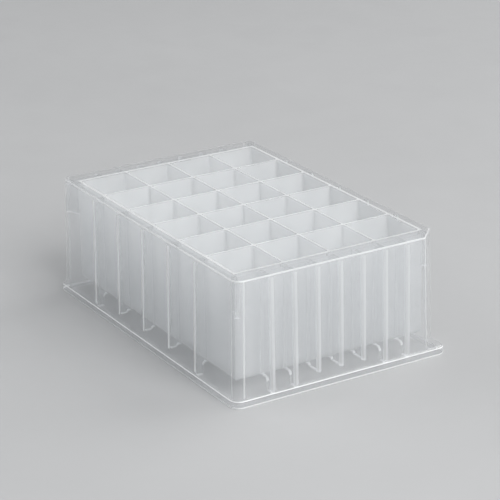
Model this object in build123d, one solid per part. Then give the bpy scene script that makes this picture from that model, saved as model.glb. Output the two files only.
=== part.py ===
"""24-well square deep-well storage plate, one natural polypropylene moulding, cut into its named features.

Millimetres. X runs along the six columns, Y along the four rows, Z up. The origin is the centre of the underside.
"""

import os
from math import atan2, degrees, radians, sqrt, tan

from build123d import *

# Driving dimensions
FOOTPRINT_LENGTH = 127.76
FOOTPRINT_WIDTH = 85.48
HEIGHT = 44.0
PITCH = 18.0
COLUMNS = 6
ROWS = 4

# Outer body: a skirt that narrows upward, closed by a flat deck round the wells
BODY_TOP_LENGTH = 124.2
BODY_TOP_WIDTH = 81.5
BODY_DRAFT = 1.2
BODY_CORNER_RADIUS = 3.3
KEY_CORNER_CUT = 7.0
KEY_EDGE_RADIUS = 0.8
SKIRT_WALL = 1.2
DECK_THICKNESS = 1.2

# Base flange: upright rim with a bevelled top edge
FLANGE_HEIGHT = 3.2
FLANGE_BEVEL_HEIGHT = 0.7
FLANGE_BEVEL_WIDTH = 0.9
FLANGE_CORNER_RADIUS = 3.6
LEDGE_THICKNESS = 1.2

# Wells
OUTER_WELL_EXTRA = 0.2
DIVIDER_TOP = 1.0
WELL_DRAFT_PER_SIDE = 0.25
WELL_WALL = 1.2
WELL_FLOOR = 1.2
WELL_UNDERSIDE = 5.6
WELL_BOTTOM_DEPTH = 2.4
WELL_OUTER_ROUND = 2.0
WELL_INNER_ROUND = 1.1

# Ribs between the skirt and the well block
RIB_THICKNESS = 1.0
SHORT_RIB_END = 5.2
LEG_END = 1.8
ARCH_TOP = 6.3
ARCH_RADIUS = 1.6
SIDE_LEG_WIDTH = 1.9
END_LEG_WIDTH = 3.0
SIDE_LEG_COLUMNS = (-2, 2)
SIDE_SHORT_COLUMNS = (-1, 0, 1)
END_LEG_STEPS = (-3, -2, 2, 3)
END_SHORT_STEPS = (-1, 0, 1)
CORNER_WEB_END = 31.0

# Worked out from the above
DRAFT_SLOPE = tan(radians(BODY_DRAFT))
DECK_UNDERSIDE = HEIGHT - DECK_THICKNESS
WELL_WALL_START = WELL_UNDERSIDE + WELL_BOTTOM_DEPTH
INNER_X = COLUMNS * PITCH / 2 + OUTER_WELL_EXTRA
INNER_Y = ROWS * PITCH / 2 + OUTER_WELL_EXTRA
BLOCK_X = INNER_X + WELL_WALL
BLOCK_Y = INNER_Y + WELL_WALL
DIVIDER_FOOT = DIVIDER_TOP + 2 * WELL_DRAFT_PER_SIDE
# Beyond every face of the plate, for blocks that only cut
REACH = 80.0


def slab(x0, x1, y0, y1, z0, z1):
    """Axis-aligned block between two corners."""
    block = Box(x1 - x0, y1 - y0, z1 - z0)
    return Pos((x0 + x1) / 2, (y0 + y1) / 2, (z0 + z1) / 2) * block


def half_size(z):
    """Half length and half width of the body at height z."""
    spread = (HEIGHT - z) * DRAFT_SLOPE
    return BODY_TOP_LENGTH / 2 + spread, BODY_TOP_WIDTH / 2 + spread


def body_outline(z, inset, keyed=True):
    """Plan outline of the body at height z, moved inward by inset; keyed cuts off the +X +Y corner."""
    length, width = half_size(z)
    length -= inset
    width -= inset
    cut = KEY_CORNER_CUT - inset * (2 - sqrt(2))
    if keyed:
        corner = [(length, width - cut), (length - cut, width)]
    else:
        corner = [(length, width)]
    plan = Polygon((-length, -width), (length, -width), *corner, (-length, width), align=None)
    square = plan.vertices().filter_by(lambda v: v.X < 0 or v.Y < 0)
    plan = fillet(square, BODY_CORNER_RADIUS - inset)
    key_side = plan.vertices().filter_by(lambda v: min(abs(v.X - x) + abs(v.Y - y) for x, y in corner) < 0.01)
    plan = fillet(key_side, KEY_EDGE_RADIUS if keyed else BODY_CORNER_RADIUS - inset)
    return Pos(0, 0, z) * plan


def body_volume(z0, z1, inset=0.0, keyed=True):
    """Drafted body, or the hollow inside it when inset is a wall thickness."""
    return loft([body_outline(z0, inset, keyed), body_outline(z1, inset, keyed)], ruled=True)


def turned(solid, angle):
    """Solid turned about the vertical axis."""
    return Rot(0, 0, angle) * solid


def mitre_sector(side, half_x, half_y):
    """Upright block over one side of a rectangular ring, mitred at 45 degrees through the ring's corners."""
    offset = half_x - half_y
    if side in ("front", "back"):
        near = [(-half_x + half_y, 0), (half_x - half_y, 0)]
        far = [(offset + REACH, -REACH), (-offset - REACH, -REACH)]
    else:
        near = [(-offset, 0)]
        far = [(-offset - REACH, -REACH), (-offset - REACH, REACH)]
    sector = extrude(Polygon(*near, *far, align=None), 2 * HEIGHT, both=True)
    return turned(sector, 180) if side in ("back", "right") else sector


def write(name, shape):
    """Write one node."""
    export_step(shape, f"parts/{name}.step")


def make_flange():
    """Rim round the foot of the skirt in four mitred lengths, and the plate that fills its keyed corner."""
    upright = FLANGE_HEIGHT - FLANGE_BEVEL_HEIGHT
    length, width = FOOTPRINT_LENGTH, FOOTPRINT_WIDTH
    plan = RectangleRounded(length, width, FLANGE_CORNER_RADIUS)
    crown_radius = FLANGE_CORNER_RADIUS - FLANGE_BEVEL_WIDTH
    crown = RectangleRounded(length - 2 * FLANGE_BEVEL_WIDTH, width - 2 * FLANGE_BEVEL_WIDTH, crown_radius)
    bevel = loft([Pos(0, 0, upright) * plan, Pos(0, 0, FLANGE_HEIGHT) * crown], ruled=True)
    hollow = body_volume(0, FLANGE_HEIGHT, SKIRT_WALL, keyed=False)
    ring = extrude(plan, upright) + bevel - hollow
    for side in ("front", "back", "left", "right"):
        write(f"base_flange_{side}", ring & mitre_sector(side, length / 2, width / 2))
    ledge = hollow - body_volume(0, FLANGE_HEIGHT, SKIRT_WALL)
    write("base_flange_key_ledge", ledge & slab(0, REACH, 0, REACH, FLANGE_HEIGHT - LEDGE_THICKNESS, HEIGHT))


def make_skirt():
    """Four flat skirt walls, three rounded corners and the cut-off corner."""
    shell = body_volume(FLANGE_HEIGHT, DECK_UNDERSIDE) - body_volume(FLANGE_HEIGHT, DECK_UNDERSIDE, SKIRT_WALL)
    x = BODY_TOP_LENGTH / 2 - BODY_CORNER_RADIUS
    y = BODY_TOP_WIDTH / 2 - BODY_CORNER_RADIUS
    key_x = BODY_TOP_LENGTH / 2 - KEY_CORNER_CUT - KEY_EDGE_RADIUS
    key_y = BODY_TOP_WIDTH / 2 - KEY_CORNER_CUT - KEY_EDGE_RADIUS
    zones = {
        "skirt_wall_front": (-x, x, -REACH, 0),
        "skirt_wall_back": (-x, key_x, 0, REACH),
        "skirt_wall_left": (-REACH, 0, -y, y),
        "skirt_wall_right": (0, REACH, -y, key_y),
        "skirt_corner_front_left": (-REACH, -x, -REACH, -y),
        "skirt_corner_front_right": (x, REACH, -REACH, -y),
        "skirt_corner_back_left": (-REACH, -x, y, REACH),
        "skirt_corner_key": (key_x, REACH, key_y, REACH),
    }
    for name, zone in zones.items():
        write(name, shell & slab(*zone, 0, HEIGHT))


def make_deck():
    """Flat top between the skirt and the well block."""
    plate = body_volume(DECK_UNDERSIDE, HEIGHT)
    z0, z1 = DECK_UNDERSIDE, HEIGHT
    write("deck_front", plate & slab(-REACH, REACH, -REACH, -BLOCK_Y, z0, z1))
    write("deck_back", plate & slab(-REACH, REACH, BLOCK_Y, REACH, z0, z1))
    write("deck_left", plate & slab(-REACH, -BLOCK_X, -BLOCK_Y, BLOCK_Y, z0, z1))
    write("deck_right", plate & slab(BLOCK_X, REACH, -BLOCK_Y, BLOCK_Y, z0, z1))


def make_well_walls():
    """Walls round the well block and the dividers inside it, all thinning upward."""
    foot = Pos(0, 0, WELL_WALL_START) * Rectangle(
        2 * (INNER_X - WELL_DRAFT_PER_SIDE), 2 * (INNER_Y - WELL_DRAFT_PER_SIDE)
    )
    mouth = Pos(0, 0, HEIGHT) * Rectangle(2 * INNER_X, 2 * INNER_Y)
    inside = loft([foot, mouth], ruled=True)
    block = slab(-BLOCK_X, BLOCK_X, -BLOCK_Y, BLOCK_Y, WELL_WALL_START, HEIGHT)
    ring = block - inside
    for side in ("front", "back", "left", "right"):
        write(f"well_block_wall_{side}", ring & mitre_sector(side, BLOCK_X, BLOCK_Y))

    section = Polygon(
        (-DIVIDER_FOOT / 2, WELL_WALL_START),
        (DIVIDER_FOOT / 2, WELL_WALL_START),
        (DIVIDER_TOP / 2, HEIGHT),
        (-DIVIDER_TOP / 2, HEIGHT),
        align=None,
    )
    along_y = extrude(Plane.XZ * section, REACH, both=True)
    along_x = turned(along_y, 90)
    crosswise = []
    for index in range(1, COLUMNS):
        divider = (Pos((index - COLUMNS / 2) * PITCH, 0, 0) * along_y) & inside
        crosswise.append(divider)
        write(f"divider_between_columns_{index}_{index + 1}", divider)
    for index in range(1, ROWS):
        divider = (Pos(0, (ROWS / 2 - index) * PITCH, 0) * along_x) & inside
        for crossing in crosswise:
            divider -= crossing
        write(f"divider_between_rows_{'abcd'[index - 1]}_{'abcd'[index]}", divider)


def well_span(index, count, inner_half):
    """Outer edges of one well along an axis, and the edges of its hollow at the foot of the walls."""
    low = (index - count / 2) * PITCH
    high = low + PITCH
    hollow_low = low + DIVIDER_FOOT / 2
    hollow_high = high - DIVIDER_FOOT / 2
    if index == 0:
        low = -inner_half - WELL_WALL
        hollow_low = -inner_half + WELL_DRAFT_PER_SIDE
    if index == count - 1:
        high = inner_half + WELL_WALL
        hollow_high = inner_half - WELL_DRAFT_PER_SIDE
    return low, high, hollow_low, hollow_high


def make_well_bottoms():
    """Shallow rounded dish under each well, rows a to d from the back, columns 1 to 6 from the left."""
    for row in range(ROWS):
        y0, y1, hollow_y0, hollow_y1 = well_span(ROWS - 1 - row, ROWS, INNER_Y)
        for column in range(COLUMNS):
            x0, x1, hollow_x0, hollow_x1 = well_span(column, COLUMNS, INNER_X)
            dish = slab(x0, x1, y0, y1, WELL_UNDERSIDE, WELL_WALL_START)
            dish = fillet(dish.edges().group_by(Axis.Z)[0], WELL_OUTER_ROUND)
            hollow = slab(hollow_x0, hollow_x1, hollow_y0, hollow_y1, WELL_UNDERSIDE + WELL_FLOOR, HEIGHT)
            hollow = fillet(hollow.edges().group_by(Axis.Z)[0], WELL_INNER_ROUND)
            write(f"well_bottom_{'abcd'[row]}{column + 1}", dish - hollow)


def rib_profile(face, leg_width, skirt_face):
    """Rib seen along its thickness: across in X from the well block's face outward, up in Y."""
    if leg_width:
        plate_foot, cut_edge, cut_top, round_radius = LEG_END, skirt_face - leg_width, ARCH_TOP, ARCH_RADIUS
    else:
        plate_foot, cut_edge, cut_top, round_radius = SHORT_RIB_END, face + 1.0, SHORT_RIB_END + 0.8, 0.7
    plate = Polygon(
        (face, plate_foot), (REACH, plate_foot), (REACH, DECK_UNDERSIDE), (face, DECK_UNDERSIDE), align=None
    )
    cut = Polygon((0, 0), (cut_edge, 0), (cut_edge, cut_top), (0, cut_top), align=None)
    arch = cut.vertices().sort_by(lambda v: v.X + v.Y)[-1]
    return plate - fillet(arch, round_radius)


def rib_space():
    """Hollow between the well block and the skirt, open below."""
    hollow = body_volume(0, DECK_UNDERSIDE, SKIRT_WALL)
    return hollow - slab(-BLOCK_X, BLOCK_X, -BLOCK_Y, BLOCK_Y, WELL_UNDERSIDE, HEIGHT)


def make_ribs(space):
    """Upright ribs from the skirt to the well block; the outer ones end in legs that reach into the flange."""
    half_length, half_width = half_size(0)
    end_face = half_length - SKIRT_WALL
    side_face = half_width - SKIRT_WALL
    end_kinds = ((END_LEG_STEPS, END_LEG_WIDTH), (END_SHORT_STEPS, 0))
    side_kinds = ((SIDE_LEG_COLUMNS, SIDE_LEG_WIDTH), (SIDE_SHORT_COLUMNS, 0))
    end_ribs, side_ribs = [], []
    for steps, leg_width in end_kinds:
        rib = extrude(Plane.XZ * rib_profile(BLOCK_X, leg_width, end_face), RIB_THICKNESS / 2, both=True)
        end_ribs += [Pos(0, step * PITCH / 2, 0) * rib for step in steps]
    for steps, leg_width in side_kinds:
        rib = extrude(Plane.XZ * rib_profile(BLOCK_Y, leg_width, side_face), RIB_THICKNESS / 2, both=True)
        side_ribs += [Pos(step * PITCH, 0, 0) * turned(rib, 90) for step in steps]
    groups = {
        "end_ribs_right": (end_ribs, 0),
        "end_ribs_left": (end_ribs, 180),
        "side_ribs_back": (side_ribs, 0),
        "side_ribs_front": (side_ribs, 180),
    }
    for name, (ribs, angle) in groups.items():
        solids = [solid for rib in ribs for solid in (turned(rib, angle) & space).solids()]
        write(name, Compound(children=solids))


def make_corner_webs(space):
    """One short web under the deck from each corner of the well block to the corner of the skirt."""
    inner_length, inner_width = half_size(DECK_UNDERSIDE)
    run_x = inner_length - SKIRT_WALL - BLOCK_X
    run_y = inner_width - SKIRT_WALL - BLOCK_Y
    lean = degrees(atan2(run_y, run_x))
    corners = {(1, 1): 45, (-1, 1): 180 - lean, (-1, -1): 180 + lean, (1, -1): -lean}
    half_web = RIB_THICKNESS / 2
    plate = slab(-RIB_THICKNESS, REACH, -half_web, half_web, CORNER_WEB_END, DECK_UNDERSIDE)
    webs = []
    for (side_x, side_y), heading in corners.items():
        placed = Pos(side_x * BLOCK_X, side_y * BLOCK_Y, 0) * turned(plate, heading)
        webs += (placed & space).solids()
    write("corner_webs", Compound(children=webs))


os.makedirs("parts", exist_ok=True)
make_flange()
make_skirt()
make_deck()
make_well_walls()
make_well_bottoms()
between = rib_space()
make_ribs(between)
make_corner_webs(between)
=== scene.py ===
from math import atan2, cos, hypot, pi, radians, sin, sqrt, tan

import bmesh
import bpy
from mathutils import Matrix, Vector


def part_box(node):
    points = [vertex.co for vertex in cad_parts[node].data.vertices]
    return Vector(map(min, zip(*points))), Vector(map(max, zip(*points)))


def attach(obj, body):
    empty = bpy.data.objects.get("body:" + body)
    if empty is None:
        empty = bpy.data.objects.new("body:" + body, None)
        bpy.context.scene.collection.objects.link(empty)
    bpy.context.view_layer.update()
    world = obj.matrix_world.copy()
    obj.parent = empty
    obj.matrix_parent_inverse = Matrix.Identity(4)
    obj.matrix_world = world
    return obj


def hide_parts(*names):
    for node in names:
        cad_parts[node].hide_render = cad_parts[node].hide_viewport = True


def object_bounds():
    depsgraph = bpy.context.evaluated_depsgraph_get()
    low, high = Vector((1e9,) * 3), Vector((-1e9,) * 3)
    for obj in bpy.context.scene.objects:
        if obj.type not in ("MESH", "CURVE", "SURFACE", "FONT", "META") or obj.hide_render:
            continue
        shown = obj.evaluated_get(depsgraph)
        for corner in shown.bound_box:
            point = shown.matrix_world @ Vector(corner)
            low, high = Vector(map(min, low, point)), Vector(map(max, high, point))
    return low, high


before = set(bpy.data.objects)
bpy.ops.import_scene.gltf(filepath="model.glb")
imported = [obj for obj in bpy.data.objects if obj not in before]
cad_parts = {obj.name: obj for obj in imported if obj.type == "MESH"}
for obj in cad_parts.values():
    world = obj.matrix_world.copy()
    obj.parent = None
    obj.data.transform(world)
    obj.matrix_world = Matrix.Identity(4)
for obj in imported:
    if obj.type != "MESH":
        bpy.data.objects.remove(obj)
cad_low, cad_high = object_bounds()

# ---------------------------------------------------------------- sizes that the frame gives, in metres
HALF_LENGTH, HALF_WIDTH, HEIGHT = cad_high.x, cad_high.y, cad_high.z
FLANGE_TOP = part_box("base_flange_front")[1].z
LEDGE_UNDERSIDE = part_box("base_flange_key_ledge")[0].z
DECK_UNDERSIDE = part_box("deck_front")[0].z
BLOCK_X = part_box("well_block_wall_right")[1].x
BLOCK_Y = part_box("well_block_wall_back")[1].y
WELL_UNDERSIDE, WALL_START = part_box("well_bottom_b2")[0].z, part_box("well_bottom_b2")[1].z
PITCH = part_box("well_bottom_b2")[1].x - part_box("well_bottom_b2")[0].x
DIVIDER_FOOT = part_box("divider_between_columns_3_4")[1].x * 2
INNER_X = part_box("divider_between_rows_b_c")[1].x
INNER_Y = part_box("divider_between_columns_3_4")[1].y
LEG_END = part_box("end_ribs_right")[0].z
WEB_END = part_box("corner_webs")[0].z

# ---------------------------------------------------------------- the other sizes, in metres
MM = 0.001
COLUMNS, ROWS = 6, 4
DRAFT_SLOPE = tan(radians(1.2))
DECK_SPREAD = (HEIGHT - DECK_UNDERSIDE) * DRAFT_SLOPE  # the draft over the deck's thickness
BODY_X = -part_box("deck_left")[0].x - DECK_SPREAD
BODY_Y = -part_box("deck_front")[0].y - DECK_SPREAD
SKIRT_WALL = 1.2 * MM
BODY_CORNER, INSIDE_CORNER = 3.3 * MM, 0.4 * MM
KEY_CUT, KEY_ROUND, KEY_INSIDE_ROUND = 7.0 * MM, 0.8 * MM, 0.3 * MM
FLANGE_CORNER = 3.6 * MM
BEVEL_HEIGHT, BEVEL_WIDTH = 0.7 * MM, 0.9 * MM
BEVEL_CURVE = 1.4  # 1 is a flat bevel, and more is rounder
BEVEL_SHARES = (0.0, 0.06, 0.35, 0.9, 1.0)  # heights of the outlines that the bevel goes through
BEVEL_HIGHLIGHT_SHARE = 0.4  # the share of the bevel that shows a painted highlight line
FLOOR = WELL_UNDERSIDE + 1.2 * MM
WELL_DRAFT = 0.25 * MM
DISH_ROUND, DISH_STEPS = 2.0 * MM, 5
FLOOR_ROUND, WELL_CORNER, LEAST_WELL_CORNER = 1.1 * MM, 0.9 * MM, 0.4 * MM
DECK_EDGE, MOUTH_EDGE, SMALL_EDGE = 0.4 * MM, 0.3 * MM, 0.3 * MM
CORNER_STEPS = 10

RIB_THICKNESS = 1.0 * MM
RIB_EDGE, ROOT_ROUND, ROOT_STEPS = 0.15 * MM, 0.45 * MM, 5
ROOT_CROWDING = 1.5  # 1 spaces the steps of a root's round evenly, and more crowds them at the wall
SHORT_END, SHORT_EDGE, SHORT_RISE, SHORT_ROUND = 5.2 * MM, 1.0 * MM, 0.8 * MM, 0.7 * MM
END_LEG, SIDE_LEG, ARCH_TOP, ARCH_ROUND, ARCH_STEPS = 3.0 * MM, 1.9 * MM, 6.3 * MM, 1.6 * MM, 9
EMBED = 0.35 * MM  # how far a rib reaches into the walls it joins
WEB_ROUND_GAP = 0.6 * MM  # what a rounded skirt corner takes off a web's length
END_RIB_STEPS = [step * PITCH / 2 for step in (-3, -2, -1, 0, 1, 2, 3)]
SIDE_RIB_STEPS = [step * PITCH for step in (-2, -1, 0, 1, 2)]
SHORT_RIBS = 1.5  # ribs less than this many spacings from the middle stop above the flange

OVERRUN = 1.0 * MM  # how far a cutting form goes past the surface it opens
BLOCK_TOP_GAP = 0.6 * MM  # how far inside the deck the well block's form stops
RING_GAP = 0.02 * MM  # between two outlines that would otherwise share a height
NEAR = 0.05 * MM
MARGIN = 1.0 * MM  # tells a face from those of its neighbours
CUT_TOLERANCE = 1e-7
SMOOTH_UP_TO = radians(32)

# parts of a face's normal
SQUARE = 0.99  # along an axis, above which the face is square to it
FACING = 0.9
DOWNWARD = -0.2
ROUND_BEGINS, ROUND_HIGHLIGHT_ENDS = 0.05, 0.15  # the smaller level part, where a skirt corner's round begins and where its painted highlight line ends

# ---------------------------------------------------------------- clouds: milky plastic behind a face, in mm, raised on edges and lines to paint highlights
WALL_CLOUD, FLANGE_CLOUD, CORNER_CLOUD, BLOCK_CLOUD, DECK_CLOUD = 1.3, 1.6, 1.1, 3.1, 0.6
# edge and line clouds: partly deeper plastic seen edge on, partly raised past it as painted highlight lines
MOUTH_CLOUD, DIVIDER_TOP_CLOUD, DECK_EDGE_CLOUD, FLANGE_HIGHLIGHT_CLOUD = 2.5, 5.5, 4.6, 6.0
RIB_SIDE_CLOUD, RIB_TOP_CLOUD, RIB_FOOT_CLOUD, WEB_FOOT_CLOUD = 1.2, 1.0, 12.0, 5.0
END_RIB_CLOUD, SIDE_RIB_CLOUD, WEB_CLOUD = 3.0, 2.0, 1.5
# skirt lines in front of ribs are painted highlights, far brighter on the sides than on the ends to suit how
# the lamps fall
END_STRIP_HIGHLIGHT, SIDE_STRIP_HIGHLIGHT, CORNER_HIGHLIGHT_CLOUD = 3.0, 16.0, 4.0
HIGHLIGHT_STRIP_HALF = 0.5 * MM  # half the width of the painted highlight line on the skirt in front of a rib
FOOT_HIGHLIGHT_HEIGHT = 0.35 * MM  # height of the painted highlight line above the flange's lower edge


# ---------------------------------------------------------------- mesh helpers
def arc(centre_x, centre_y, radius, start, end, count):
    """count points along an arc, ends included, angles in degrees."""
    angles = [radians(start + (end - start) * i / (count - 1)) for i in range(count)]
    return [(centre_x + radius * cos(a), centre_y + radius * sin(a)) for a in angles]


def outline(half_x, half_y, radius, z, cut=0.0, cut_round=0.0):
    """Rounded rectangle at height z, anticlockwise; cut takes off the +X +Y corner."""
    x, y = half_x - radius, half_y - radius
    points = arc(-x, -y, radius, 180, 270, CORNER_STEPS) + arc(x, -y, radius, 270, 360, CORNER_STEPS)
    if cut:
        reach = cut + cut_round * tan(pi / 8)
        points += arc(half_x - cut_round, half_y - reach, cut_round, 0, 45, CORNER_STEPS // 2)
        points += arc(half_x - reach, half_y - cut_round, cut_round, 45, 90, CORNER_STEPS // 2)
    else:
        points += arc(x, y, radius, 0, 90, CORNER_STEPS)
    points += arc(-x, y, radius, 90, 180, CORNER_STEPS)
    return [Vector((px, py, z)) for px, py in points]


def body_outline(z, inset=0.0, keyed=True):
    """Outline of the drafted body at height z, moved inward by inset."""
    spread = (HEIGHT - z) * DRAFT_SLOPE - inset
    radius = max(BODY_CORNER - inset, INSIDE_CORNER)
    cut = KEY_CUT - inset * (2 - sqrt(2)) if keyed else 0.0
    cut_round = max(KEY_ROUND - inset, KEY_INSIDE_ROUND)
    return outline(BODY_X + spread, BODY_Y + spread, radius, z, cut, cut_round)


def rounding(radius, steps=4):
    """(along, across) pairs for a quarter round that starts tangent to a face and turns inward."""
    turns = [pi / 2 * i / steps for i in range(steps + 1)]
    return [(radius * sin(turn), radius * (1 - cos(turn))) for turn in turns]


def loft(bm, rings):
    """Closed skin through rings of equal length, capped at both ends."""
    rows = [[bm.verts.new(p) for p in ring] for ring in rings]
    count = len(rows[0])
    for low, high in zip(rows, rows[1:]):
        for i in range(count):
            j = (i + 1) % count
            bm.faces.new((low[i], low[j], high[j], high[i]))
    bm.faces.new(list(reversed(rows[0])))
    bm.faces.new(rows[-1])


def new_object(name, bm):
    """Mesh object from bm, normals outward."""
    bmesh.ops.recalc_face_normals(bm, faces=bm.faces)
    mesh = bpy.data.meshes.new(name)
    bm.to_mesh(mesh)
    bm.free()
    obj = bpy.data.objects.new(name, mesh)
    bpy.context.scene.collection.objects.link(obj)
    return obj


def combine(target, tool, operation):
    """Exact boolean of target with tool, applied; tool is then removed."""
    modifier = target.modifiers.new("cut", "BOOLEAN")
    modifier.object = tool
    modifier.operation = operation
    modifier.solver = "EXACT"
    graph = bpy.context.evaluated_depsgraph_get()
    mesh = bpy.data.meshes.new_from_object(target.evaluated_get(graph))
    target.modifiers.clear()
    target.data = mesh
    bpy.data.objects.remove(tool)


# ---------------------------------------------------------------- the moulding
def outer_form():
    """Flange and drafted body as one solid form, with every outside edge rounded."""
    bm = bmesh.new()
    rings = []
    for rise, step in reversed(rounding(SMALL_EDGE)):
        z = SMALL_EDGE - rise
        rings.append(outline(HALF_LENGTH - step, HALF_WIDTH - step, FLANGE_CORNER - step, z))
    rings.append(outline(HALF_LENGTH, HALF_WIDTH, FLANGE_CORNER, SMALL_EDGE + FOOT_HIGHLIGHT_HEIGHT))
    for share in BEVEL_SHARES:
        z = FLANGE_TOP - BEVEL_HEIGHT * (1 - share)
        step = BEVEL_WIDTH * share ** BEVEL_CURVE
        rings.append(outline(HALF_LENGTH - step, HALF_WIDTH - step, FLANGE_CORNER - step, z))
    rings += [body_outline(FLANGE_TOP + RING_GAP), body_outline(DECK_UNDERSIDE)]
    for rise, step in rounding(DECK_EDGE):
        rings.append(body_outline(HEIGHT - DECK_EDGE + rise, step))
    loft(bm, rings)
    return new_object("plate_moulding", bm)


def underside_form():
    """The hollow inside the skirt, up to the deck; below the key's ledge its corner isn't cut off."""
    bm = bmesh.new()
    rings = [body_outline(z, SKIRT_WALL, keyed=False) for z in (-OVERRUN, LEDGE_UNDERSIDE)]
    rings.append(body_outline(LEDGE_UNDERSIDE + RING_GAP, SKIRT_WALL))
    for rise, step in rounding(SMALL_EDGE):
        rings.append(body_outline(DECK_UNDERSIDE - SMALL_EDGE + rise, SKIRT_WALL + step))
    loft(bm, rings)
    return new_object("underside", bm)


def cell_edges(count, block_half):
    """Outer edges of each well's share of the block along one axis."""
    edges = [(i - count / 2) * PITCH for i in range(count + 1)]
    edges[0], edges[-1] = -block_half, block_half
    return edges


def stations(edges):
    """(place, height above the flat underside) along one axis, closely spaced in each dish's rounding."""
    found = [(edges[0], DISH_ROUND)]
    turns = [pi / 2 * i / DISH_STEPS for i in range(1, DISH_STEPS + 1)]
    for low, high in zip(edges, edges[1:]):
        near = [(low + DISH_ROUND * (1 - cos(turn)), DISH_ROUND * (1 - sin(turn))) for turn in turns]
        far = [(high - (x - low), h) for x, h in reversed(near)]
        found += near + far + [(high, DISH_ROUND)]
    return found


def block_form():
    """The well block's outside: flat sides, and an underside of 24 rounded dishes."""
    along_x, along_y = stations(cell_edges(COLUMNS, BLOCK_X)), stations(cell_edges(ROWS, BLOCK_Y))
    bm = bmesh.new()
    grid = []
    for x, rise_x in along_x:
        grid.append([bm.verts.new((x, y, WELL_UNDERSIDE + max(rise_x, rise_y))) for y, rise_y in along_y])
    last_x, last_y = len(along_x) - 1, len(along_y) - 1
    for i in range(last_x):
        for j in range(last_y):
            bm.faces.new((grid[i][j], grid[i][j + 1], grid[i + 1][j + 1], grid[i + 1][j]))
    rim = [grid[i][0] for i in range(last_x)] + [grid[last_x][j] for j in range(last_y)]
    rim += [grid[i][last_y] for i in range(last_x, 0, -1)] + [grid[0][j] for j in range(last_y, 0, -1)]
    crown = [bm.verts.new((v.co.x, v.co.y, HEIGHT - BLOCK_TOP_GAP)) for v in rim]
    for i in range(len(rim)):
        j = (i + 1) % len(rim)
        bm.faces.new((rim[i], rim[j], crown[j], crown[i]))
    bm.faces.new(crown)
    return new_object("block", bm)


def well_span(index, count, inner):
    """Edges of one well's hollow at the foot of its walls, along one axis."""
    low = (index - count / 2) * PITCH + DIVIDER_FOOT / 2
    high = low + PITCH - DIVIDER_FOOT
    if index == 0:
        low = -inner + WELL_DRAFT
    if index == count - 1:
        high = inner - WELL_DRAFT
    return low, high


def well_forms():
    """The 24 hollows: rounded floor, drafted walls with rounded corners, and a rounded mouth."""
    levels = [(FLOOR + FLOOR_ROUND - rise, -step) for rise, step in reversed(rounding(FLOOR_ROUND))]
    levels += [(HEIGHT - MOUTH_EDGE + rise, step) for rise, step in rounding(MOUTH_EDGE)]
    levels.append((HEIGHT + OVERRUN, MOUTH_EDGE))
    bm = bmesh.new()
    for i in range(COLUMNS):
        for j in range(ROWS):
            x0, x1 = well_span(i, COLUMNS, INNER_X)
            y0, y1 = well_span(j, ROWS, INNER_Y)
            centre = Vector(((x0 + x1) / 2, (y0 + y1) / 2, 0))
            rings = []
            for z, outset in levels:
                lean = WELL_DRAFT * (z - WALL_START) / (HEIGHT - WALL_START) + outset
                corner = max(WELL_CORNER + outset, LEAST_WELL_CORNER)
                ring = outline((x1 - x0) / 2 + lean, (y1 - y0) / 2 + lean, corner, z)
                rings.append([p + centre for p in ring])
            loft(bm, rings)
    return new_object("wells", bm)


def score(bm, chosen, co, normal):
    """Cuts the chosen faces along a plane, and leaves the rest as they are."""
    faces = [f for f in bm.faces if chosen(f)]
    edges = {e for f in faces for e in f.edges}
    verts = {v for f in faces for v in f.verts}
    geometry = faces + list(edges) + list(verts)
    bmesh.ops.bisect_plane(bm, geom=geometry, dist=CUT_TOLERANCE, plane_co=co, plane_no=normal)


def score_moulding(obj):
    """Parts the deck from the rim over the well block's walls, and the skirt along the ribs behind it, where
    painted highlight lines go.
    """
    bm = bmesh.new()
    bm.from_mesh(obj.data)
    up = Vector((0, 0, 1))

    def on_top(face):
        return face.normal.z > SQUARE and min(v.co.z for v in face.verts) > HEIGHT - NEAR / 5

    for axis, block_half, steps in ((0, BLOCK_X, END_RIB_STEPS), (1, BLOCK_Y, SIDE_RIB_STEPS)):
        outward = Vector((axis == 0, axis == 1, 0))
        across = Vector((axis == 1, axis == 0, 0))
        for side in (-1, 1):
            score(bm, on_top, outward * side * block_half, outward)

            def on_skirt(face):
                reach = face.calc_center_median()[axis] * side
                return face.normal[axis] * side > SQUARE and reach > block_half + MARGIN

            for foot in (LEG_END, SHORT_END):
                score(bm, on_skirt, up * foot, up)
            for step in steps:
                for edge in (-HIGHLIGHT_STRIP_HALF, HIGHLIGHT_STRIP_HALF):
                    score(bm, on_skirt, across * (step + edge), across)
    bm.to_mesh(obj.data)
    bm.free()


def make_moulding():
    """The plate without its ribs and webs, in one piece."""
    moulding = outer_form()
    combine(moulding, underside_form(), "DIFFERENCE")
    combine(moulding, block_form(), "UNION")
    combine(moulding, well_forms(), "DIFFERENCE")
    score_moulding(moulding)
    return moulding


# ---------------------------------------------------------------- ribs
def inner_skirt(skirt_half, z):
    """Distance from the middle to the inside of the skirt's wall at height z."""
    return skirt_half + (HEIGHT - z) * DRAFT_SLOPE - SKIRT_WALL


def rib_profile(face, skirt_half, short, leg_width):
    """Points across and up of one rib, from inside the block's wall to inside the skirt's wall."""
    if short:
        foot, edge, crown, radius = SHORT_END, face + SHORT_EDGE, SHORT_END + SHORT_RISE, SHORT_ROUND
    else:
        foot, edge, crown, radius = LEG_END, inner_skirt(skirt_half, 0) - leg_width, ARCH_TOP, ARCH_ROUND
    inner, top = face - EMBED, DECK_UNDERSIDE + EMBED
    outer_foot, outer_top = inner_skirt(skirt_half, foot) + EMBED, inner_skirt(skirt_half, top) + EMBED
    points = [(outer_foot, foot), (outer_top, top), (inner, top), (inner, crown)]
    arch = arc(edge - radius, crown - radius, radius, 90, 0, ARCH_STEPS)
    points += [(x, z) for x, z in arch if x > inner + NEAR]
    points.append((edge, foot))
    return points


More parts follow.
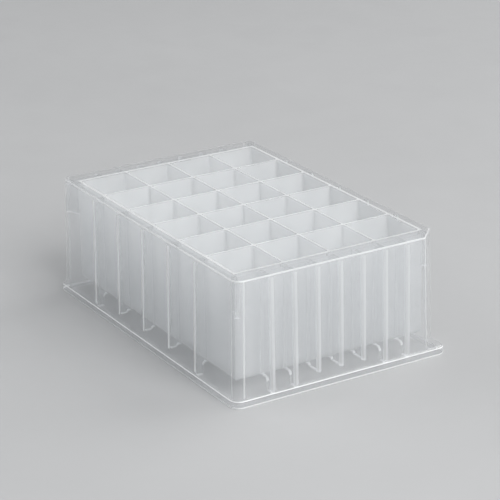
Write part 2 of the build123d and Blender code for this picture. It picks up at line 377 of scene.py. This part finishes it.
def flare(point, face, skirt_half):
    """How far a rib widens at a point where it runs into the block, the skirt or the deck."""
    gap = max(min(inner_skirt(skirt_half, point.z) - point.x, point.x - face, DECK_UNDERSIDE - point.z), 0)
    return ROOT_ROUND - sqrt(ROOT_ROUND ** 2 - (ROOT_ROUND - gap) ** 2) if gap < ROOT_ROUND else 0.0


def rib_plate(name, points, to_place, face, skirt_half):
    """Upright plate over a profile, with rounded edges and filleted roots, and its direction across."""
    half = RIB_THICKNESS / 2
    bm = bmesh.new()
    near, far = [[bm.verts.new((x, y, z)) for x, z in points] for y in (-half, half)]
    bm.faces.new(near)
    bm.faces.new(list(reversed(far)))
    for i in range(len(points)):
        j = (i + 1) % len(points)
        bm.faces.new((near[j], near[i], far[i], far[j]))
    bmesh.ops.recalc_face_normals(bm, faces=bm.faces)
    rims = [e for e in bm.edges if abs(e.verts[0].co.y - e.verts[1].co.y) < half]
    bmesh.ops.bevel(bm, geom=rims, offset=RIB_EDGE, segments=2, profile=0.5, affect="EDGES")
    for step in range(ROOT_STEPS + 1):
        gap = ROOT_ROUND * (step / ROOT_STEPS) ** ROOT_CROWDING
        planes = [
            ((inner_skirt(skirt_half, 0) - gap, 0, 0), (1, 0, DRAFT_SLOPE)),
            ((face + gap, 0, 0), (1, 0, 0)),
            ((0, 0, DECK_UNDERSIDE - gap), (0, 0, 1)),
        ]
        for co, normal in planes:
            geometry = bm.verts[:] + bm.edges[:] + bm.faces[:]
            bmesh.ops.bisect_plane(bm, geom=geometry, dist=CUT_TOLERANCE, plane_co=co, plane_no=normal)
    for vert in bm.verts:
        vert.co.y *= 1 + flare(vert.co, face, skirt_half) / half
    bmesh.ops.transform(bm, matrix=to_place, verts=bm.verts)
    return new_object(name, bm), to_place.to_3x3() @ Vector((0, 1, 0))


def make_ribs():
    """Seven ribs at each end and five along each side, each as (object, CAD node, direction across)."""
    rows = [
        ("end", "right", 0, END_RIB_STEPS, BLOCK_X, BODY_X, END_LEG),
        ("end", "left", 180, END_RIB_STEPS, BLOCK_X, BODY_X, END_LEG),
        ("side", "back", 90, SIDE_RIB_STEPS, BLOCK_Y, BODY_Y, SIDE_LEG),
        ("side", "front", -90, SIDE_RIB_STEPS, BLOCK_Y, BODY_Y, SIDE_LEG),
    ]
    made = []
    for kind, side, angle, steps, face, skirt_half, leg_width in rows:
        for index, step in enumerate(steps):
            profile = rib_profile(face, skirt_half, is_short(step, steps), leg_width)
            place = Matrix.Rotation(radians(angle), 4, "Z") @ Matrix.Translation((0, step, 0))
            rib, across = rib_plate(f"{kind}_rib_{side}_{index + 1}", profile, place, face, skirt_half)
            made.append((rib, f"{kind}_ribs_{side}", across))
    return made


def is_short(step, steps):
    """Whether the rib at this place in a row stops above the flange."""
    return abs(step) < SHORT_RIBS * (steps[1] - steps[0])


def make_webs():
    """One short web from each corner of the well block to the skirt's corner, under the deck."""
    run_x = inner_skirt(BODY_X, DECK_UNDERSIDE) - BLOCK_X
    run_y = inner_skirt(BODY_Y, DECK_UNDERSIDE) - BLOCK_Y
    lean = atan2(run_y, run_x)
    key_run = (run_x + run_y - (KEY_CUT - SKIRT_WALL * (2 - sqrt(2)))) / sqrt(2)
    round_run = hypot(run_x, run_y) - WEB_ROUND_GAP
    corners = {
        "key": (1, 1, pi / 4, key_run),
        "back_left": (-1, 1, pi - lean, round_run),
        "front_left": (-1, -1, pi + lean, round_run),
        "front_right": (1, -1, -lean, round_run),
    }
    made = []
    for name, (side_x, side_y, heading, run) in corners.items():
        top = DECK_UNDERSIDE + EMBED
        foot_spread = (DECK_UNDERSIDE - WEB_END) * DRAFT_SLOPE
        points = [(run + EMBED + foot_spread, WEB_END), (run + EMBED, top), (-EMBED, top), (-EMBED, WEB_END)]
        corner = Matrix.Translation((side_x * BLOCK_X, side_y * BLOCK_Y, 0))
        skirt_half = run + SKIRT_WALL - DECK_SPREAD
        place = corner @ Matrix.Rotation(heading, 4, "Z")
        web, across = rib_plate(f"corner_web_{name}", points, place, 0.0, skirt_half)
        made.append((web, "corner_webs", across))
    return made


# ---------------------------------------------------------------- how milky each face is
def face_centres(mesh):
    """A point inside every polygon, however it is shaped: the centre of its largest triangle."""
    mesh.calc_loop_triangles()
    best = {}
    for triangle in mesh.loop_triangles:
        if triangle.area >= best.get(triangle.polygon_index, (-1, None))[0]:
            centre = sum((mesh.vertices[v].co for v in triangle.vertices), Vector()) / 3
            best[triangle.polygon_index] = (triangle.area, centre)
    return [best[i][1] for i in range(len(mesh.polygons))]


def strip_highlight_cloud(centre, normal):
    """The raised cloud that paints a highlight line on the skirt in front of a rib, far brighter on the sides
    than on the ends, or 0 where no rib stands behind it.
    """
    on_end = abs(normal.x) > SQUARE
    along = centre.y if on_end else centre.x
    steps = END_RIB_STEPS if on_end else SIDE_RIB_STEPS
    nearest = min(steps, key=lambda step: abs(step - along))
    foot = SHORT_END if is_short(nearest, steps) else LEG_END
    if abs(along - nearest) > HIGHLIGHT_STRIP_HALF or not foot < centre.z < DECK_UNDERSIDE:
        return 0.0
    return END_STRIP_HIGHLIGHT if on_end else SIDE_STRIP_HIGHLIGHT


def block_cloud(centre, normal, slanted):
    """The cloud of a face of the well block, raised on divider tops and mouths partly for deeper plastic and
    partly as a painted highlight.
    """
    if centre.z > HEIGHT - NEAR and normal.z > SQUARE:
        return DIVIDER_TOP_CLOUD
    return MOUTH_CLOUD if slanted and centre.z > HEIGHT - 2 * MOUTH_EDGE else BLOCK_CLOUD


def flange_cloud_and_highlight(centre, normal, slanted):
    """The cloud of a face of the flange, with a painted highlight line along its foot and one under its top.
    """
    foot_highlight = centre.z < SMALL_EDGE + FOOT_HIGHLIGHT_HEIGHT and abs(normal.z) < FACING
    bevel_foot = FLANGE_TOP - BEVEL_HEIGHT
    top_highlight = bevel_foot < centre.z < bevel_foot + BEVEL_HIGHLIGHT_SHARE * BEVEL_HEIGHT and slanted
    return FLANGE_HIGHLIGHT_CLOUD if is_outer(centre, normal) and (foot_highlight or top_highlight) else FLANGE_CLOUD


def corner_cloud_and_highlight(centre, normal):
    """The cloud of a skirt corner, with painted highlight lines where a round begins and beside the key's
    cut.
    """
    round_highlight = min(abs(normal.x), abs(normal.y)) < ROUND_HIGHLIGHT_ENDS
    off_diagonal = abs(abs(normal.x) - abs(normal.y)) > ROUND_BEGINS
    key_highlight = centre.x > 0 and centre.y > 0 and off_diagonal
    return CORNER_HIGHLIGHT_CLOUD if is_outer(centre, normal) and (round_highlight or key_highlight) else CORNER_CLOUD


def is_outer(centre, normal):
    """Whether a face looks away from the middle of the plate."""
    return normal.x * centre.x + normal.y * centre.y > 0


def moulding_cloud(centre, normal):
    """The cloud of a face of the moulding, raised where light gathers in an edge, as a painted highlight."""
    slanted = max(abs(c) for c in normal) < SQUARE
    if abs(centre.x) < BLOCK_X + 2 * NEAR and abs(centre.y) < BLOCK_Y + 2 * NEAR:
        return block_cloud(centre, normal, slanted)
    if centre.z > HEIGHT - DECK_EDGE - NEAR and slanted:
        return DECK_EDGE_CLOUD
    if abs(normal.z) > SQUARE and centre.z > HEIGHT / 2:
        return DECK_CLOUD
    if centre.z < FLANGE_TOP + NEAR:
        return flange_cloud_and_highlight(centre, normal, slanted)
    if min(abs(normal.x), abs(normal.y)) > ROUND_BEGINS:
        return corner_cloud_and_highlight(centre, normal)
    return max(WALL_CLOUD, strip_highlight_cloud(centre, normal) if is_outer(centre, normal) else 0.0)


def rib_cloud(name, centre, normal, across):
    """The cloud of a face of a rib or web, raised where it is seen edge on, partly for deeper plastic and
    partly as a painted highlight.
    """
    is_web = name.startswith("corner_web")
    looks_down = normal.z < DOWNWARD
    if looks_down and centre.z < (WEB_END + MARGIN if is_web else HEIGHT / 2):
        return WEB_FOOT_CLOUD if is_web else RIB_FOOT_CLOUD
    if looks_down or abs(normal.dot(across)) > FACING:
        return RIB_SIDE_CLOUD
    if normal.z > FACING:
        return RIB_TOP_CLOUD
    if is_web:
        return WEB_CLOUD
    return SIDE_RIB_CLOUD if name.startswith("side_rib") else END_RIB_CLOUD


def finish_piece(obj, across, plastic):
    """Stores each face's cloud, raised on edges and lines for painted highlights, for the material, and
    shades obj smooth up to its real edges.
    """
    mesh = obj.data
    faces = zip(mesh.polygons, face_centres(mesh))
    if across is None:
        clouds = [moulding_cloud(centre, face.normal) for face, centre in faces]
    else:
        clouds = [rib_cloud(obj.name, centre, face.normal, across) for face, centre in faces]
    mesh.attributes.new("depth_and_highlight", "FLOAT", "FACE").data.foreach_set("value", clouds)
    mesh.materials.clear()
    mesh.materials.append(plastic)
    for polygon in mesh.polygons:
        polygon.use_smooth = True
    mesh.set_sharp_from_angle(angle=SMOOTH_UP_TO)


# ---------------------------------------------------------------- materials
CLOUD = 0.33  # how strongly a millimetre of plastic veils what is behind it
CLOUD_VARIATION = 0.1
THIN_LOW, THIN_HIGH = (0.69, 0.70, 0.707), (0.74, 0.747, 0.753)
# the whiter colour of faces with a deep cloud: a painted highlight on edges and lines, where light gathers
EDGE_HIGHLIGHT_WHITE = (0.95, 0.957, 0.962)
THIN_DEPTH, EDGE_DEPTH = 1.5, 7.0  # clouds where the colour leaves that of walls and reaches the painted highlight white of edges
THIN_GLOW, EDGE_GLOW = 0.5, 0.12  # the share of light that passes through the milk instead of coming back
CLEAR_TINT = (0.988, 0.990, 0.991, 1)
LAMP_CLEAR, LAMP_CLOUDED = (0.955, 0.957, 0.959), (0.44, 0.444, 0.448)  # what shadow rays keep of their light
MILK_ROUGHNESS, GLOSS_ROUGHNESS = (0.30, 0.40), (0.18, 0.26)
PLASTIC_IOR = 1.49
HEAD_ON_GLOSS, GLANCING_GLOSS, GLOSS_POWER = 0.035, 0.6, 5.0
BUMP_STRENGTH, BUMP_HEIGHT = 0.3, 0.1 * MM
BROAD_SCALE, FLOW_SCALE, FLOW_STRETCH = 45.0, 90.0, (1, 1, 0.3)
FLOOR_LOW, FLOOR_HIGH = (0.405, 0.407, 0.41), (0.43, 0.432, 0.435)
FLOOR_ROUGHNESS = (0.55, 0.7)
FLOOR_PATCHES, FLOOR_GRAIN = 9.0, 60.0
NOISE_LOW, NOISE_HIGH = 0.3, 0.7  # what noise mostly lies between


def node(tree, kind, **settings):
    """Adds a node; settings named in_<socket> set inputs, and the rest set attributes."""
    made = tree.nodes.new(kind)
    for key, value in settings.items():
        if key.startswith("in_"):
            made.inputs[key[3:].replace("_", " ")].default_value = value
        else:
            setattr(made, key, value)
    return made


def connect(tree, sockets, values):
    """Sets each socket to a number, or links it from another socket."""
    for socket, value in zip(sockets, values):
        if isinstance(value, (int, float)):
            socket.default_value = value
        else:
            tree.links.new(value, socket)


def noise(tree, coordinates, scale, detail=2.0, stretch=(1, 1, 1)):
    """Noise in object space, stretched by direction."""
    mapping = node(tree, "ShaderNodeMapping", in_Scale=stretch)
    tree.links.new(coordinates, mapping.inputs["Vector"])
    made = node(tree, "ShaderNodeTexNoise", in_Scale=scale, in_Detail=detail)
    tree.links.new(mapping.outputs[0], made.inputs["Vector"])
    return made.outputs["Fac"]


def spread(tree, source, low, high):
    """Noise, spread over low to high."""
    made = node(tree, "ShaderNodeMapRange", in_From_Min=NOISE_LOW, in_From_Max=NOISE_HIGH)
    connect(tree, (made.inputs["To Min"], made.inputs["To Max"]), (low, high))
    tree.links.new(source, made.inputs["Value"])
    return made.outputs[0]


def calculate(tree, operation, *values):
    """A math node over sockets and numbers."""
    made = node(tree, "ShaderNodeMath", operation=operation)
    connect(tree, made.inputs, values)
    return made.outputs[0]


def colours(tree, source, low, high):
    """A colour between low and high by source; each is a colour or a socket."""
    made = node(tree, "ShaderNodeMix", data_type="RGBA")
    tree.links.new(source, made.inputs["Factor"])
    for socket, value in zip((made.inputs["A"], made.inputs["B"]), (low, high)):
        if isinstance(value, tuple):
            socket.default_value = (*value, 1)
        else:
            tree.links.new(value, socket)
    return made.outputs["Result"]


def mix_shaders(tree, share, first, second):
    """A shader that is first, and second by share."""
    made = node(tree, "ShaderNodeMixShader")
    connect(tree, made.inputs, (share, first, second))
    return made.outputs[0]


def new_material(name):
    """An empty material and its node tree."""
    material = bpy.data.materials.new(name)
    material.use_nodes = True
    material.node_tree.nodes.clear()
    return material, material.node_tree


def make_plastic():
    """Natural polypropylene: a milky veil, as deep as the plastic behind each face, under a satin gloss;
    edges and lines are whitened as a painted highlight.
    """
    material, tree = new_material("natural_polypropylene")
    place = node(tree, "ShaderNodeTexCoord").outputs["Object"]
    broad = noise(tree, place, BROAD_SCALE, 1.0)
    flow = noise(tree, place, FLOW_SCALE, 1.0, FLOW_STRETCH)

    # a wall shows two faces, so each fades what is behind it by half of the wall's depth
    depth_with_highlights = node(tree, "ShaderNodeAttribute", attribute_name="depth_and_highlight").outputs["Fac"]
    least, most = [-CLOUD / 2 * (1 + change) for change in (-CLOUD_VARIATION, CLOUD_VARIATION)]
    fade = calculate(tree, "MULTIPLY", depth_with_highlights, spread(tree, broad, least, most))
    veil = calculate(tree, "SUBTRACT", 1.0, calculate(tree, "EXPONENT", fade))

    # faces with a deep cloud turn whiter and send more light back: a painted highlight on edges and lines
    edge_highlight = node(tree, "ShaderNodeMapRange", in_From_Min=THIN_DEPTH, in_From_Max=EDGE_DEPTH)
    edge_highlight.interpolation_type = "SMOOTHSTEP"
    tree.links.new(depth_with_highlights, edge_highlight.inputs["Value"])
    colour = colours(tree, edge_highlight.outputs[0], colours(tree, broad, THIN_LOW, THIN_HIGH), EDGE_HIGHLIGHT_WHITE)
    bump = node(tree, "ShaderNodeBump", in_Strength=BUMP_STRENGTH, in_Distance=BUMP_HEIGHT)
    tree.links.new(flow, bump.inputs["Height"])

    solid = node(tree, "ShaderNodeBsdfPrincipled", in_IOR=PLASTIC_IOR)
    tree.links.new(spread(tree, broad, *MILK_ROUGHNESS), solid.inputs["Roughness"])
    tree.links.new(colour, solid.inputs["Base Color"])
    tree.links.new(bump.outputs[0], solid.inputs["Normal"])
    through = node(tree, "ShaderNodeBsdfTranslucent")
    tree.links.new(colour, through.inputs["Color"])
    glow = calculate(tree, "MULTIPLY_ADD", edge_highlight.outputs[0], EDGE_GLOW - THIN_GLOW, THIN_GLOW)
    milk = mix_shaders(tree, glow, solid.outputs[0], through.outputs[0])
    clear = node(tree, "ShaderNodeBsdfTransparent", in_Color=CLEAR_TINT)
    body = mix_shaders(tree, veil, clear.outputs[0], milk)

    gloss = node(tree, "ShaderNodeBsdfGlossy", in_Color=(1, 1, 1, 1))
    tree.links.new(spread(tree, broad, *GLOSS_ROUGHNESS), gloss.inputs["Roughness"])
    tree.links.new(bump.outputs[0], gloss.inputs["Normal"])
    facing = node(tree, "ShaderNodeLayerWeight", in_Blend=0.5).outputs["Facing"]
    glancing = calculate(tree, "POWER", facing, GLOSS_POWER)
    reflected = calculate(tree, "MULTIPLY_ADD", glancing, GLANCING_GLOSS, HEAD_ON_GLOSS)
    backfacing = node(tree, "ShaderNodeNewGeometry").outputs["Backfacing"]
    outside = calculate(tree, "SUBTRACT", 1.0, backfacing)
    seen = mix_shaders(tree, calculate(tree, "MULTIPLY", reflected, outside), body, gloss.outputs[0])

    for_lamps = node(tree, "ShaderNodeBsdfTransparent")
    tree.links.new(colours(tree, veil, LAMP_CLEAR, LAMP_CLOUDED), for_lamps.inputs["Color"])
    lamp_ray = node(tree, "ShaderNodeLightPath").outputs["Is Shadow Ray"]
    output = node(tree, "ShaderNodeOutputMaterial")
    tree.links.new(mix_shaders(tree, lamp_ray, seen, for_lamps.outputs[0]), output.inputs["Surface"])
    return material


def make_floor_paint():
    """Matt pale studio floor."""
    material, tree = new_material("studio_floor")
    place = node(tree, "ShaderNodeTexCoord").outputs["Object"]
    paint = node(tree, "ShaderNodeBsdfPrincipled", in_Specular_IOR_Level=0.3)
    tone = colours(tree, noise(tree, place, FLOOR_PATCHES, 4.0), FLOOR_LOW, FLOOR_HIGH)
    tree.links.new(tone, paint.inputs["Base Color"])
    tree.links.new(spread(tree, noise(tree, place, FLOOR_GRAIN), *FLOOR_ROUGHNESS), paint.inputs["Roughness"])
    output = node(tree, "ShaderNodeOutputMaterial")
    tree.links.new(paint.outputs[0], output.inputs["Surface"])
    return material


# ---------------------------------------------------------------- the pieces, and the CAD nodes they replace
pieces = [(make_moulding(), None, None)] + make_ribs() + make_webs()
plastic = make_plastic()
for piece, nodes, across in pieces:
    finish_piece(piece, across, plastic)

rib_nodes = {nodes for piece, nodes, across in pieces if nodes}
moulding_nodes = [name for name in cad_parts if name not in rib_nodes]
for piece, nodes, across in pieces:
    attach(piece, "root")
    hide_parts(*(moulding_nodes if nodes is None else [nodes]))


# ---------------------------------------------------------------- studio
TARGET = Vector((0, 0, HEIGHT / 2))
FLOOR_HALF, FLOOR_GAP = 3.0, 0.05 * MM  # the gap keeps the floor from coinciding with the plate's underside
CAMERA_TURN, CAMERA_LIFT, CAMERA_ROLL = radians(58.882), radians(20.99), radians(-0.785)
CAMERA_DISTANCE, CAMERA_ASIDE, CAMERA_RAISE = 0.715523, 0.001972, 0.004401
CAMERA_LENS, SENSOR_WIDTH = 144.467, 36
CAMERA_NEAR, CAMERA_FAR = 0.01, 20
WORLD_COLOUR, WORLD_STRENGTH = (0.92, 0.94, 0.96, 1), 0.25


def add_floor():
    """Wide floor just under the plate."""
    bm = bmesh.new()
    bmesh.ops.create_grid(bm, x_segments=1, y_segments=1, size=FLOOR_HALF)
    floor = new_object("floor", bm)
    floor.location.z = -FLOOR_GAP
    floor.data.materials.append(make_floor_paint())
    return floor


def add_light(name, place, size, power, tint=(1, 1, 1)):
    """Square soft light at place, aimed at the plate."""
    data = bpy.data.lights.new(name, "AREA")
    data.shape = "SQUARE"
    data.size = size
    data.energy = power
    data.color = tint
    light = bpy.data.objects.new(name, data)
    light.location = place
    light.rotation_euler = (TARGET - light.location).to_track_quat("-Z", "Y").to_euler()
    bpy.context.scene.collection.objects.link(light)


def add_camera():
    """The photograph's viewpoint, as fitted to the edges seen in it."""
    level = Vector((sin(CAMERA_TURN), -cos(CAMERA_TURN), 0))
    back = level * cos(CAMERA_LIFT) + Vector((0, 0, sin(CAMERA_LIFT)))
    right = (-back).cross(Vector((0, 0, 1))).normalized()
    up = right.cross(-back)
    place = TARGET + right * CAMERA_ASIDE + up * CAMERA_RAISE + back * CAMERA_DISTANCE
    axes = Matrix((right, up, back)).transposed().to_4x4()
    data = bpy.data.cameras.new("camera")
    data.lens = CAMERA_LENS
    data.sensor_width = SENSOR_WIDTH
    data.clip_start, data.clip_end = CAMERA_NEAR, CAMERA_FAR
    camera = bpy.data.objects.new("camera", data)
    camera.matrix_world = Matrix.Translation(place) @ axes @ Matrix.Rotation(CAMERA_ROLL, 4, "Z")
    bpy.context.scene.collection.objects.link(camera)
    bpy.context.scene.camera = camera


add_floor()
add_light("key", (1.7, 0.2, 1.35), 1.3, 52)
add_light("fill", (-1.35, -1.35, 1.1), 1.6, 18, (0.97, 0.985, 1))
add_light("back", (0.1, 1.5, 1.3), 1.4, 22)
add_camera()

scene = bpy.context.scene
scene.world = bpy.data.worlds.new("studio")
scene.world.use_nodes = True
background = scene.world.node_tree.nodes["Background"]
background.inputs["Color"].default_value = WORLD_COLOUR
background.inputs["Strength"].default_value = WORLD_STRENGTH
scene.view_settings.view_transform = "Standard"
scene.cycles.sample_clamp_indirect = 1.0
scene.cycles.transparent_max_bounces = 96
scene.cycles.max_bounces = 12
scene.cycles.diffuse_bounces = 4
scene.cycles.transmission_bounces = 6
scene.cycles.use_denoising = True
